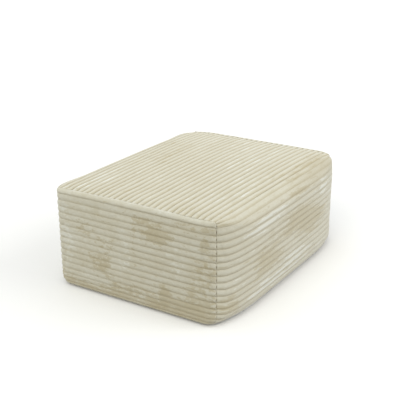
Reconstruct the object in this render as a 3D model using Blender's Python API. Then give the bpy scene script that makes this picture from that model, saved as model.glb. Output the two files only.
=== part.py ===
"""A box ottoman in wide-ribbed plush: the filled body under its long cover panel, two end panels, a base cloth.

Metres, +Z up. The ribs of the long panel run along X, and the origin is the middle of the underside.
"""
import bpy
import numpy as np

NAME = "ottoman"

# Overall form, on the crests of the ribs
LENGTH = 0.962            # between the flats of the two ends
WIDTH = 0.779             # between the flats of the two long sides
HEIGHT = 0.400            # floor to the middle of the crown
TOP_FALL = 0.015          # how far the top sinks from its middle to its edges
TOP_FALL_POWER_ALONG = 2.5
TOP_FALL_POWER_ACROSS = 4.2
SIDE_BULGE = 0.009
END_BULGE = 0.0035
BULGE_POWER = 2.5

# Upright corners: a quarter ellipse that takes more of the long side than of the end
CORNER_ALONG = 0.239
CORNER_ACROSS = 0.068

# Long top edges: a soft roll that tightens towards the seams
EDGE_ROLL = 0.057
EDGE_ROLL_AT_SEAM = 0.016
EDGE_ROLL_RUN = 0.217

# Lower edges, tucked under to the base cloth
SIDE_TUCK = 0.037
SIDE_TUCK_HEIGHT = 0.045
END_TUCK = 0.019

# End panels
SEAM_INSET = 0.0154       # from the flat of the end back to its seams
END_TOP_ROLL = 0.014
END_FIRST_GROOVE = 0.3755
END_RIB_PITCH = 0.02465
EVEN_GROOVES = 13         # evenly spaced grooves, on an end and on a long side alike
END_LOW_GROOVES = (0.0570, 0.0365, 0.0195)   # heights of the last grooves, in the tuck

# Ribs of the long panel, numbered from the one on the centre line of the top
RIB_DEPTH = 0.0042
SEAM_PINCH = 0.0028       # how far a seam is drawn into the surface
PINCH_RUN = 0.010
TOP_PITCH = 0.0246
LAST_TOP_GROOVE = 13.5    # rib number of the last groove on the flat of the top
FIRST_SIDE_GROOVE = 15.5  # rib number of the first groove of a long side, and its height
SIDE_TOP = 0.3696
SIDE_PITCH = 0.02485
SIDE_LOW_GROOVES = (0.0480, 0.0275, 0.0120)
SEAM_DROP = 0.0040        # where the grooves meet at a corner seam they lie this much below the end's
SEAM_DROP_RUN = 0.022
SIDE_SAG = 0.0045         # the side's grooves sag this far a hand's width past the corner seam
ROLL_FLATTENING = 0.65    # share of the rib depth lost on the long top edges
ROLL_REACH = 0.034

# Points across one rib, as shares of its width from the groove, and stations along half the body
RIB_SHARES = (0.0, 0.2, 0.5, 0.8)
STATIONS = (0.0, 0.3, 0.55, 0.72, 0.84, 0.92, 0.97, 1.0)
END_COLUMNS = 17

BASE_CLOTH = 0.0025
GAP = 0.0003
UNDERSIDE = BASE_CLOTH + GAP
BASE_CLOTH_MARGIN = 0.004

# Sewn cloth is never exact: every point of the plush lies off its place by up to this much
UNEVENNESS = 0.00006
SEED = 7

PLUSH_COLOUR = (0.63, 0.60, 0.50, 1.0)
PLUSH_ROUGHNESS = 0.85
BASE_CLOTH_COLOUR = (0.07, 0.07, 0.07, 1.0)
BASE_CLOTH_ROUGHNESS = 0.95


def quarter_fall(past, run, depth):
    """Depth lost on a quarter ellipse, 'past' being the distance gone along its run."""
    share = np.clip(past / run, 0.0, 1.0)
    return depth * (1.0 - np.sqrt(1.0 - share**2))


def ease(share):
    """Smooth step from 0 to 1."""
    share = np.clip(share, 0.0, 1.0)
    return share * share * (3.0 - 2.0 * share)


def bulge(z):
    """Share of a side's bulge at height z: none at the top and the floor, full at mid height."""
    return 1.0 - np.clip(np.abs(2.0 * z / HEIGHT - 1.0), 0.0, 1.0)**BULGE_POWER


def tucked(z, height):
    """Share of a tuck reached at height z: none above it, all of it at the underside."""
    return quarter_fall(height - z, height - UNDERSIDE, 1.0)


def seam_x(z):
    """Where the seams of an end lie along X, at height z."""
    return LENGTH / 2 - SEAM_INSET - (END_TUCK - SEAM_INSET) * tucked(z, END_TUCK)


def half_width(x, z):
    """Half the body's width at x and height z."""
    bow = SIDE_BULGE * (1.0 - (2.0 * x / LENGTH)**2) * bulge(z)
    corner = quarter_fall(np.abs(x) - (LENGTH / 2 - CORNER_ALONG), CORNER_ALONG, CORNER_ACROSS)
    return WIDTH / 2 + bow - corner - SIDE_TUCK * tucked(z, SIDE_TUCK_HEIGHT)


def crown(x, y):
    """Height of the top: level in the middle, sinking towards all four edges."""
    along = np.clip(np.abs(2.0 * x / LENGTH), 0.0, 1.0)**TOP_FALL_POWER_ALONG
    across = np.clip(np.abs(2.0 * y / WIDTH), 0.0, 1.0)**TOP_FALL_POWER_ACROSS
    return HEIGHT - TOP_FALL * (1.0 - (1.0 - along) * (1.0 - across))


def half_section(station):
    """Curve from the middle of the top, over the long edge, down the side and under, at one station.

    station runs from -1 at one seam to 1 at the other. Returns the points and their distance along the curve.
    """
    x_top = station * seam_x(HEIGHT)
    run = ease((LENGTH / 2 - abs(x_top)) / EDGE_ROLL_RUN)
    roll = EDGE_ROLL_AT_SEAM + (EDGE_ROLL - EDGE_ROLL_AT_SEAM) * run
    edge_y = half_width(x_top, HEIGHT * 0.85)
    y_top = np.linspace(0.0, edge_y - roll, 60, endpoint=False)
    turn = np.linspace(0.0, np.pi / 2, 30)
    y_roll = edge_y - roll * (1.0 - np.sin(turn))
    z_roll = crown(x_top, y_roll) - roll * (1.0 - np.cos(turn))
    y_roll = half_width(x_top, z_roll) - roll * (1.0 - np.sin(turn))
    z_side = np.linspace(z_roll[-1], SIDE_TUCK_HEIGHT, 60)[1:]
    drop = np.sin(np.linspace(0.0, np.pi / 2, 25)[1:])
    z_tuck = SIDE_TUCK_HEIGHT - (SIDE_TUCK_HEIGHT - UNDERSIDE) * drop
    z_low = np.concatenate([z_side, z_tuck])
    x_low = station * seam_x(z_low)
    x = np.concatenate([np.full(len(y_top) + len(y_roll), x_top), x_low])
    y = np.concatenate([y_top, y_roll, half_width(x_low, z_low)])
    z = np.concatenate([crown(x_top, y_top), z_roll, z_low])
    steps = np.hypot(np.diff(y), np.diff(z))
    return np.column_stack([x, y, z]), np.concatenate([[0.0], np.cumsum(steps)])


def points_along(curve, distance):
    """Points of a half section at the given distances, and the direction across it that points outwards."""
    points, travelled = curve
    at = np.column_stack([np.interp(distance, travelled, points[:, axis]) for axis in range(3)])
    reach = 0.002
    ahead = np.column_stack([np.interp(distance + reach, travelled, points[:, axis]) for axis in (1, 2)])
    behind = np.column_stack([np.interp(distance - reach, travelled, points[:, axis]) for axis in (1, 2)])
    way = ahead - behind
    way /= np.hypot(way[:, 0], way[:, 1])[:, None]
    outwards = np.column_stack([np.zeros(len(at)), -way[:, 1], way[:, 0]])
    return at, outwards


def groove_depth(share):
    """Depth below the crest across a rib: none on the crest, full in the groove, round between."""
    off_crest = np.abs(2.0 * share - 1.0)
    return RIB_DEPTH * (1.0 - np.sqrt(1.0 - off_crest**3))


def end_grooves():
    """Heights of an end panel's grooves, from the top down."""
    return np.append(END_FIRST_GROOVE - END_RIB_PITCH * np.arange(EVEN_GROOVES), END_LOW_GROOVES)


def side_grooves(from_seam):
    """Heights of a long side's grooves, from the top down, meeting the end's grooves at the corner seam."""
    middle = np.append(SIDE_TOP - SIDE_PITCH * np.arange(EVEN_GROOVES), SIDE_LOW_GROOVES)
    sag = SIDE_SAG * ease(from_seam / 0.04) * (1.0 - ease((from_seam - 0.05) / 0.12))
    sag = sag * ease((SIDE_TOP - middle) / 0.09) * ease((middle - 0.01) / 0.05)
    meeting = np.clip(1.0 - from_seam / SEAM_DROP_RUN, 0.0, 1.0)**1.6
    return middle + (end_grooves() - SEAM_DROP - middle) * meeting - sag


def rib_distance(numbers, curve):
    """Distance along a half section of each rib number: even on the top, by the grooves' heights below."""
    points, travelled = curve
    heights = side_grooves(LENGTH / 2 - SEAM_INSET - abs(points[0, 0]))
    falling = int(np.argmax(points[:, 1] > points[:, 1].max() * 0.9))
    down = np.interp(-heights, -points[falling:, 2], travelled[falling:])
    below = FIRST_SIDE_GROOVE + np.arange(len(heights))
    known = np.concatenate([[0.0, LAST_TOP_GROOVE], below, [below[-1] + 1.0]])
    places = np.concatenate([[0.0, LAST_TOP_GROOVE * TOP_PITCH], down, [travelled[-1]]])
    return np.interp(numbers, known, places)


def wrap_ring(station):
    """One closed outline of the long panel, from the underside's left edge over the top to its right edge."""
    curve = half_section(station)
    last = FIRST_SIDE_GROOVE + len(side_grooves(0.0))
    # rib numbers of the points: the middle rib's right half, then the whole ribs down to the underside
    numbers = [share - 0.5 for share in RIB_SHARES if share >= 0.5]
    numbers += [first + 0.5 + share for first in range(int(last)) for share in RIB_SHARES]
    numbers = np.array(numbers + [last])
    at, outwards = points_along(curve, rib_distance(numbers, curve))
    depth = groove_depth((numbers + 0.5) % 1.0)
    off_edge = (numbers - (LAST_TOP_GROOVE + FIRST_SIDE_GROOVE + 1.0) / 2) * TOP_PITCH
    depth *= 1.0 - ROLL_FLATTENING * np.exp(-(off_edge / ROLL_REACH)**2)
    free = ease((1.0 - abs(station)) * LENGTH / 2 / PINCH_RUN)
    depth = depth * free + SEAM_PINCH * (1.0 - free)
    depth[-1] = 0.0
    right = at - outwards * depth[:, None]
    left = right[:0:-1] * np.array([1.0, -1.0, 1.0])
    return np.concatenate([left, right])


def ladder(ring):
    """Faces that close a symmetric ring of points, rung by rung from its two ends to its middle."""
    faces = []
    low, high = 0, len(ring) - 1
    while high - low > 2:
        faces.append((ring[low], ring[high], ring[high - 1], ring[low + 1]))
        low += 1
        high -= 1
    if high - low == 2:
        faces.append((ring[low], ring[high], ring[low + 1]))
    return faces


def wrap_mesh():
    """Loft through the stations, closed along the underside and at both seams."""
    stations = [-share for share in STATIONS[:0:-1]] + list(STATIONS)
    rings = [wrap_ring(station) for station in stations]
    count = len(rings[0])
    faces = []
    for row in range(len(rings) - 1):
        for column in range(count):
            after = (column + 1) % count
            faces.append((row * count + column, (row + 1) * count + column,
                          (row + 1) * count + after, row * count + after))
    first = list(range(count))
    last = [(len(rings) - 1) * count + column for column in range(count)]
    faces += [face[::-1] for face in ladder(first)]
    faces += ladder(last)
    return np.concatenate(rings), faces


def end_rows():
    """Heights of the end panel's rows on its middle line, and how deep each row lies in a groove."""
    grooves = end_grooves()[::-1]
    lows = np.concatenate([[UNDERSIDE], grooves])[:, None]
    highs = np.append(grooves, crown(seam_x(HEIGHT), 0.0) - SEAM_PINCH)[:, None]
    shares = np.array(RIB_SHARES)[None, :]
    heights = (lows + (highs - lows) * shares).ravel()
    depths = np.tile(groove_depth(shares[0]), len(lows))
    return np.append(heights, highs[-1]), np.append(depths, 0.0)


def end_panel_mesh(side):
    """Ribbed front on a grid of rows and columns, and a back that follows the seam surface.

    side is -1 or 1. The front stands out from the seam surface on a quarter ellipse towards each seam.
    """
    outline, _ = half_section(1.0)
    pulled_in = outline[:, 1] - SEAM_PINCH
    level, depths = end_rows()
    across = np.sin(np.linspace(-1.0, 1.0, END_COLUMNS) * np.pi / 2)[None, :]
    on_roll = int(np.argmax(outline[:, 1] >= outline[:, 1].max() - 1e-4))
    widest = pulled_in[on_roll]
    y_high = np.abs(across) * widest
    seam_top = np.interp(y_high, outline[:on_roll + 1, 1], outline[:on_roll + 1, 2]) - SEAM_PINCH
    arch = crown(seam_x(HEIGHT), y_high) - SEAM_PINCH
    share = (level / level[-1])[:, None]
    z = share * arch - (arch - seam_top) * ease((share - 0.88) / 0.12)
    beside_seam = np.clip(1.0 - (1.0 - np.abs(across)) * WIDTH / 2 / SEAM_DROP_RUN, 0.0, 1.0)
    z = z - SEAM_DROP * beside_seam**2 * ease(share * 20.0) * ease((1.0 - share) * 30.0)
    z[0] = UNDERSIDE
    falling = outline[on_roll:]
    half = np.interp(-z, -falling[:, 2], pulled_in[on_roll:])
    y = across * half
    seam = seam_x(z)
    stand = SEAM_INSET * (1.0 - tucked(z, END_TUCK)) + END_BULGE * (1.0 - (y / half)**2) * bulge(z)
    # towards the upright seams the front goes on along the corner's own ellipse
    start = 1.0 - SEAM_INSET / CORNER_ALONG
    left_over = np.sqrt(1.0 - start**2)
    turned = np.clip(left_over - (half - np.abs(y)) / CORNER_ACROSS, 0.0, 1.0)
    by_corner = (np.sqrt(1.0 - turned**2) - start) / (1.0 - start)
    by_top = np.sqrt(1.0 - np.clip(1.0 - (seam_top - z) / END_TOP_ROLL, 0.0, 1.0)**2)
    out = by_corner * by_top / np.maximum(by_corner + by_top - by_corner * by_top, 1e-9)
    front = seam + stand * out - depths[:, None] * np.clip(stand * out / SEAM_INSET, 0.0, 1.0)
    x = np.maximum(front, seam) + GAP
    points = np.stack([side * x, y, z], axis=2)
    rows, columns = z.shape
    number = np.arange(rows * columns).reshape(rows, columns)
    faces = []
    for row in range(rows - 1):
        for column in range(columns - 1):
            faces.append((number[row, column], number[row, column + 1],
                          number[row + 1, column + 1], number[row + 1, column]))
    # back: the bottom row and the first rung, then rung by rung up both seams and along the top
    faces.append(tuple(number[0, ::-1]) + (number[1, 0], number[1, -1]))
    seam_line = list(number[1:, 0]) + list(number[-1, 1:-1]) + list(number[:0:-1, -1])
    faces += [face[::-1] for face in ladder(seam_line)]
    if side < 0:
        faces = [face[::-1] for face in faces]
    return points.reshape(-1, 3), faces


def new_material(name, colour, roughness):
    material = bpy.data.materials.new(name)
    material.use_nodes = True
    shader = material.node_tree.nodes["Principled BSDF"]
    shader.inputs["Base Color"].default_value = colour
    shader.inputs["Roughness"].default_value = roughness
    shader.inputs["Metallic"].default_value = 0.0
    return material


def add_soft_part(name, points, faces, material, collection):
    chance = np.random.default_rng(SEED)
    points = points + chance.uniform(-UNEVENNESS, UNEVENNESS, points.shape)
    mesh = bpy.data.meshes.new(name)
    mesh.from_pydata([tuple(map(float, point)) for point in points], [],
                     [tuple(int(corner) for corner in face) for face in faces])
    mesh.validate()
    mesh.materials.append(material)
    mesh.shade_smooth()
    mesh.set_sharp_from_angle(angle=np.radians(50.0))
    part = bpy.data.objects.new(name, mesh)
    collection.objects.link(part)
    return part


def add_base_cloth(material, collection):
    """Flat cloth under the body, inside the tucked edges, with the body's own rounded outline."""
    stations = np.concatenate([-np.array(STATIONS[:0:-1]), STATIONS])
    x = stations * (seam_x(UNDERSIDE) - BASE_CLOTH_MARGIN)
    y = half_width(x, UNDERSIDE) - BASE_CLOTH_MARGIN
    outline = np.concatenate([np.column_stack([x, -y]), np.column_stack([x, y])[::-1]])
    curve = bpy.data.curves.new("base_cloth", "CURVE")
    curve.dimensions = "2D"
    curve.fill_mode = "BOTH"
    curve.extrude = BASE_CLOTH / 2
    spline = curve.splines.new("POLY")
    spline.points.add(len(outline) - 1)
    flat = np.column_stack([outline, np.zeros(len(outline)), np.ones(len(outline))])
    spline.points.foreach_set("co", flat.ravel())
    spline.use_cyclic_u = True
    curve.materials.append(material)
    cloth = bpy.data.objects.new("base_cloth", curve)
    cloth.location.z = BASE_CLOTH / 2
    collection.objects.link(cloth)
    return cloth


def main():
    for old in list(bpy.data.objects):
        bpy.data.objects.remove(old, do_unlink=True)
    collection = bpy.data.collections.new(NAME)
    bpy.context.scene.collection.children.link(collection)
    plush = new_material("long_panel_plush", PLUSH_COLOUR, PLUSH_ROUGHNESS)
    add_soft_part("wrap", *wrap_mesh(), plush, collection)
    for name, side in (("end_panel_near", -1), ("end_panel_far", 1)):
        plush = new_material(name + "_plush", PLUSH_COLOUR, PLUSH_ROUGHNESS)
        add_soft_part(name, *end_panel_mesh(side), plush, collection)
    add_base_cloth(new_material("base_cloth", BASE_CLOTH_COLOUR, BASE_CLOTH_ROUGHNESS), collection)


main()
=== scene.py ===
import math
import bpy
import numpy as np
from mathutils import Matrix, Vector


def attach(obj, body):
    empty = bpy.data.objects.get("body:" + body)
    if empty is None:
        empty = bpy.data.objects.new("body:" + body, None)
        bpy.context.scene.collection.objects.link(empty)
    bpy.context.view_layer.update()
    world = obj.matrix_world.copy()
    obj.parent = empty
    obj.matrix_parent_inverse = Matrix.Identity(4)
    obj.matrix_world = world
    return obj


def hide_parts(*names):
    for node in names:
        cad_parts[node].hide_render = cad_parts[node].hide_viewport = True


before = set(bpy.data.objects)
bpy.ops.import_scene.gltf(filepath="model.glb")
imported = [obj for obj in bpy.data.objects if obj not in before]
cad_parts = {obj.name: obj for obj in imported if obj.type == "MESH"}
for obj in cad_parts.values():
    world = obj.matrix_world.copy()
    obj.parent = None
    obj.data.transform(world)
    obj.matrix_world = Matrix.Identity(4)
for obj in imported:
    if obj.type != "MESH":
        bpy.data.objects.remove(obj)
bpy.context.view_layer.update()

form = {                       # the filled body, on the crests of its ribs
    "length": 0.962,           # between the flats of the two ends
    "width": 0.779,            # between the flats of the two long sides
    "height": 0.400,           # floor to the middle of the crown
    "topFall": 0.015,          # how far the top sinks from its middle to its edges
    "fallAlong": 2.5,
    "fallAcross": 4.2,
    "sideBulge": 0.009,
    "endBulge": 0.0035,
    "bulgePower": 2.5,
    "cornerAlong": 0.239,      # upright corners: quarter ellipse, along the side and across the end
    "cornerAcross": 0.068,
    "edgeRoll": 0.057,         # radius of the long top edges, mid length and at the seams
    "edgeRollAtSeam": 0.011,
    "edgeRollRun": 0.217,
    "sideTuck": 0.037,         # lower edges, turned under to the base cloth
    "sideTuckHeight": 0.045,
    "edgeLevel": 0.85,         # share of the height where a long edge's distance from the middle is taken
    "endTuck": 0.019,
    "seamInset": 0.0154,       # from the flat of an end back to its seams
    "endTopRoll": 0.014,
    "underside": 0.0028,       # the body stands on its base cloth
    "gap": 0.0003,
}

steps = {                      # how finely the surfaces are drawn
    "top": 90,                 # points along half a cross-section: on the top, round the edge, down the side
    "edge": 40,
    "side": 80,
    "tuck": 40,
    "seamRun": 14,             # cross-sections next to a seam, then up to the run below, then to mid length
    "pastSeam": 12,
    "pastSeamRun": 0.075,
    "midLength": 39,
    "endPanel": 151,
    "baseCloth": (121, 91),
}

longRibs = {                   # ribs of the long panel, about one inch apart
    "depth": 0.0056,
    "roundness": 1.9,          # power of a rib's arch: higher is flatter on the crest
    "topPitch": 0.0246,
    "shift": -0.0027,          # the middle rib lies this far off the top's centre line
    "topGroove": 13.5,         # rib number of the last groove on the flat of the top
    "sideGroove": 15.5,        # and of the first groove down each side
    "sideTop": 0.3672,         # height of that groove
    "sidePitch": 0.02485,
    "sideLow": (0.0480, 0.0275, 0.0120),   # heights of the last grooves, in the tuck
    "seamRun": 0.022,          # length over which a rib bends to meet the end panel's at the seam
    "seamBend": 1.6,           # and the power of that bend
    "dip": 0.0055,             # the side's ribs sag this far just past the corner seam
    "dipStarts": 0.04,         # in full this far from the seam
    "dipEnds": (0.05, 0.12),   # and fading from here, over this length
    "dipTop": 0.09,            # it comes in over this height below the first groove
    "dipHigh": 0.75,           # share of it that shows high up
    "dipGrowth": 0.5,          # and how much more shows low down
    "dipLow": (0.24, -0.12),   # from this height, over this way down
    "dipFloor": (0.01, 0.05),  # and none below this height, coming in over this one
    "rollNumber": 15.1,        # rib number at the middle of a long top edge
    "rollFlattening": 0.72,    # share of the depth lost there
    "rollReach": 0.034,
    "rollBare": 0.6,           # how much less its grooves are shaded
    "sideFlattening": 0.28,    # and on the long sides, where the cover is pulled tight
    "farRun": 0.35,            # from the middle to here, towards one end, these grow:
    "farFlattening": 0.34,     # the flattening
    "farFilling": 0.45,        # and how much of the grooves' painted shade the nap takes off, as it fills them
    "topFilling": 0.25,        # as it does on the top
    "sideFilling": 0.12,
    "rollShade": 0.20,         # how much painted shade darkens the long top edges
    "farRollShade": 0.50,      # and more of it towards one end
    "farRollRun": (-0.08, 0.30),
    "wander": 0.0009,          # how far a rib strays from its line
    "wanderPace": (14.0, 1.7), # of the straying, along the ribs and from rib to rib
    "wanderFades": (3.0, 6.0), # and how it fades, over ribs at the lower edges and as a rate at the ends
    "depthPace": (9.0, 2.3),   # and of the uneven depth
    "lowFade": 1.2,            # ribs over which the depth fades at the lower edge
}

endRibs = {                    # ribs of the end panels
    "depth": 0.0044,
    "roundness": 2.1,
    "firstGroove": 0.3710,
    "firstRib": 0.0245,
    "pitch": 0.02470,
    "count": 13,
    "low": (0.0550, 0.0350, 0.0185),       # heights of the last grooves, in the tuck
    "seamDrop": 0.0040,        # the grooves drop this far where they meet the corner seam
    "seamDropRun": 0.018,
    "filling": 0.66,           # how much of the grooves' painted shade the nap takes off towards one corner, as it fills them
    "fillingRun": (0.12, -0.32),
    "flattening": 0.30,        # and how much of the depth it takes
    "flatteningEnds": (-0.35, 0.08),       # short of the corner itself
    "wander": 0.0008,
    "wanderPace": (5.0, 1.6),
    "depthPace": (9.0, 2.1),
    "wanderFades": (8.0, 12.0, 8.0),       # rates at the base, at the top and at the upright seams
    "dropFades": (20.0, 30.0), # of the seams' drop, at the base and at the top
    "topReach": 0.45,          # ribs over which they fade into the plain band along the top seam
    "lowFade": 0.8,
    "topBend": (0.955, 0.045), # share of the height where the rows start to follow the top seam
    "crowding": 0.35,          # how much closer together the columns lie at the upright seams
}

uneven = {                     # what sewing and filling leave uneven on every panel
    "depth": 0.14,             # share by which a rib's depth varies
    "puckerPace": (60.0, 1.9),
    "seeds": {"stray": 11, "depth": 5, "pucker": 23, "endStray": 31, "endDepth": 41, "endPucker": 51,
              "baseCloth": 61, "stitches": 91},
}

seams = {
    "pinch": 0.0040,           # how deep an upright seam lies under the ribs' crests
    "topPinch": 0.0024,        # and a top seam, on the long panel's side
    "bandPinch": 0.0004,       # and on the end panel's side
    "run": 0.0062,             # how far from the seam the cloth starts to turn in
    "grooveShare": 0.25,       # share of the pinch that only the grooves have
    "bandRun": 0.005,          # how far along a top seam the band starts from the corner
    "deeper": 0.25,            # how much deeper the grooves run into the seam
    "deeperReach": 0.03,
    "pucker": 0.0008,
    "puckerReach": 0.025,
    "tuckNumber": 14.4,        # a sewn tuck runs on from each top corner, between these ribs
    "tuckLength": 0.050,
    "tuckDepth": 0.0034,
    "tuckWidth": 0.0045,
    "tuckNarrowing": 0.45,     # share by which it narrows on its way from the corner
    # painted shade along the sewn tuck's fold
    "tuckShade": 0.40,
}

ribShares = np.array([0.0, 0.05, 0.12, 0.23, 0.36, 0.5, 0.64, 0.77, 0.88, 0.95])   # rows of points on a rib
ribStart = {"longPanel": 40.5, "endPanel": 100.0}      # where a panel's rib numbers start in its rib map


def ease(value, start=0.0, run=1.0):
    # 0 up to the start, then 3t^2 - 2t^3 up to 1 over the run; a negative run goes the other way
    t = np.clip((value - start) / run, 0.0, 1.0)
    return t * t * (3.0 - 2.0 * t)


def turnIn(distance, run):
    # 1 at a seam and 0 from the run on: one minus the height of a quarter circle
    return 1.0 - np.sqrt(1.0 - np.clip(1.0 - distance / run, 0.0, 1.0)**2)


def quarterFall(past, run, depth):
    # depth lost on a quarter ellipse: depth times one minus the root of one minus (past over run) squared
    t = np.clip(past / run, 0.0, 1.0)
    return depth * (1.0 - np.sqrt(1.0 - t**2))


def bulgeShare(z):
    # one at mid height, none at the floor and the top, flat in between
    return 1.0 - np.clip(np.abs(2.0 * z / form["height"] - 1.0), 0.0, 1.0)**form["bulgePower"]


def tuckedShare(z, height):
    return quarterFall(height - z, height - form["underside"], 1.0)


def seamX(z):
    # where the end seams lie along X: a fixed inset, moving in with the tuck near the floor
    inset = form["seamInset"] + (form["endTuck"] - form["seamInset"]) * tuckedShare(z, form["endTuck"])
    return form["length"] / 2 - inset


def halfWidth(x, z):
    # half the flat width, plus the bow of the side, less the corner ellipse, less the tuck
    bow = form["sideBulge"] * (1.0 - (2.0 * x / form["length"])**2) * bulgeShare(z)
    corner = quarterFall(np.abs(x) - (form["length"] / 2 - form["cornerAlong"]),
                         form["cornerAlong"], form["cornerAcross"])
    return form["width"] / 2 + bow - corner - form["sideTuck"] * tuckedShare(z, form["sideTuckHeight"])


def crownHeight(x, y):
    # the top sinks by a power of the distance from its middle, along and across
    along = np.clip(np.abs(2.0 * x / form["length"]), 0.0, 1.0)**form["fallAlong"]
    across = np.clip(np.abs(2.0 * y / form["width"]), 0.0, 1.0)**form["fallAcross"]
    return form["height"] - form["topFall"] * (1.0 - (1.0 - along) * (1.0 - across))


def halfSection(station):
    # cross-section at one station, -1 to 1 from seam to seam: along the top, round the long edge on a quarter
    # circle, down the side and under on a quarter sine
    xTop = station * seamX(form["height"])
    run = ease((form["length"] / 2 - abs(xTop)) / form["edgeRollRun"])
    roll = form["edgeRollAtSeam"] + (form["edgeRoll"] - form["edgeRollAtSeam"]) * run
    edgeY = halfWidth(xTop, form["height"] * form["edgeLevel"])
    yTop = np.linspace(0.0, edgeY - roll, steps["top"], endpoint=False)
    turn = np.linspace(0.0, np.pi / 2, steps["edge"])
    yRoll = edgeY - roll * (1.0 - np.sin(turn))
    zRoll = crownHeight(xTop, yRoll) - roll * (1.0 - np.cos(turn))
    yRoll = halfWidth(xTop, zRoll) - roll * (1.0 - np.sin(turn))
    zSide = np.linspace(zRoll[-1], form["sideTuckHeight"], steps["side"])[1:]
    drop = np.sin(np.linspace(0.0, np.pi / 2, steps["tuck"])[1:])
    zTuck = form["sideTuckHeight"] - (form["sideTuckHeight"] - form["underside"]) * drop
    zLow = np.concatenate([zSide, zTuck])
    xLow = station * seamX(zLow)
    x = np.concatenate([np.full(len(yTop) + len(yRoll), xTop), xLow])
    y = np.concatenate([yTop, yRoll, halfWidth(xLow, zLow)])
    z = np.concatenate([crownHeight(xTop, yTop), zRoll, zLow])
    travelled = np.concatenate([[0.0], np.cumsum(np.hypot(np.diff(y), np.diff(z)))])
    return np.column_stack([x, y, z]), travelled


def wholeSection(points, travelled):
    # both halves of a cross-section, from one lower edge over the top to the other
    whole = np.concatenate([points[:0:-1] * np.array([1.0, -1.0, 1.0]), points])
    return whole, np.concatenate([-travelled[:0:-1], travelled])


fillingGive = (                # where the filling gives or stands full: its middle, reach and move
    ((-0.470, -0.350, 0.384), (0.060, 0.060, 0.026), (0.000, 0.000, 0.005)),
    ((-0.470, 0.000, 0.390), (0.120, 0.320, 0.020), (0.000, 0.000, 0.0075)),
    ((0.470, -0.350, 0.380), (0.042, 0.042, 0.046), (-0.007, 0.007, -0.006)),
    ((0.470, 0.350, 0.380), (0.060, 0.060, 0.060), (-0.007, -0.007, -0.006)),
)


def settled(points):
    # each point moves with every give, fading as a bell of its distance from the give's middle
    moved = np.array(points, dtype=float)
    for middle, reach, move in fillingGive:
        far = np.sum(((points - np.array(middle)) / np.array(reach))**2, axis=-1, keepdims=True)
        moved += np.array(move) * np.exp(-far)
    return moved


def grooveShare(share, power):
    # depth across a rib, 0 on the crest and 1 in the groove: one minus a rounded arch
    off = np.abs(2.0 * share - 1.0)
    return 1.0 - np.sqrt(np.maximum(1.0 - off**power, 0.0))


def softNoise(a, b, seed, waves=7):
    # sum of sine waves in two parameters with seeded directions and phases, mostly between -1.5 and 1.5
    chance = np.random.default_rng(seed)
    total = np.zeros(np.broadcast(a, b).shape)
    for _ in range(waves):
        angle = chance.uniform(0, 2 * np.pi)
        pace = chance.uniform(0.6, 1.6)
        phase = chance.uniform(0, 2 * np.pi)
        total = total + np.sin(pace * (a * np.cos(angle) + b * np.sin(angle)) + phase)
    return total / math.sqrt(waves)


def unevenness(along, rib, pace, what, side=0):
    # soft noise along the ribs and from rib to rib, or in X and Y, at a pace for each
    return softNoise(along * pace[0], rib * pace[1], uneven["seeds"][what] + side)


def gridNormals(points):
    # cross product of the two directions of the grid, by central differences
    across = np.gradient(points, axis=1)
    along = np.gradient(points, axis=0)
    normal = np.cross(along, across)
    return normal / np.maximum(np.linalg.norm(normal, axis=2, keepdims=True), 1e-12)


def gridFaces(shape):
    # point numbers of a grid and its faces, one for each cell, from row to row
    number = np.arange(shape[0] * shape[1]).reshape(shape[:2])
    corners = (number[:-1, :-1], number[:-1, 1:], number[1:, 1:], number[1:, :-1])
    return number, np.stack(corners, 2).reshape(-1, 4)


def ladder(ring):
    # faces that close a ring, rung by rung from its two ends to its middle
    half = (len(ring) - 1) // 2
    low = np.arange(half)
    high = len(ring) - 1 - low
    rungs = np.column_stack([ring[low], ring[high], ring[high - 1], ring[low + 1]])
    return [tuple(dict.fromkeys(rung)) for rung in rungs.tolist() if len(set(rung)) > 2]


def makePiece(name, points, faces, material, uvs, shade, nap=None):
    mesh = bpy.data.meshes.new(name)
    mesh.from_pydata(points.tolist(), [], faces)
    corners = np.empty(len(mesh.loops), dtype=np.int32)
    mesh.loops.foreach_get("vertex_index", corners)
    layer = mesh.uv_layers.new(name="ribMap")
    layer.data.foreach_set("uv", uvs[corners].astype(np.float32).ravel())
    for attribute, values in (("rise", shade), ("nap", nap)):
        if values is not None:
            made = mesh.attributes.new(attribute, "FLOAT", "POINT")
            made.data.foreach_set("value", np.ascontiguousarray(values, dtype=np.float32).ravel())
    mesh.materials.append(material)
    mesh.shade_smooth()
    mesh.update()
    piece = bpy.data.objects.new(name, mesh)
    bpy.context.scene.collection.objects.link(piece)
    return piece


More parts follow.
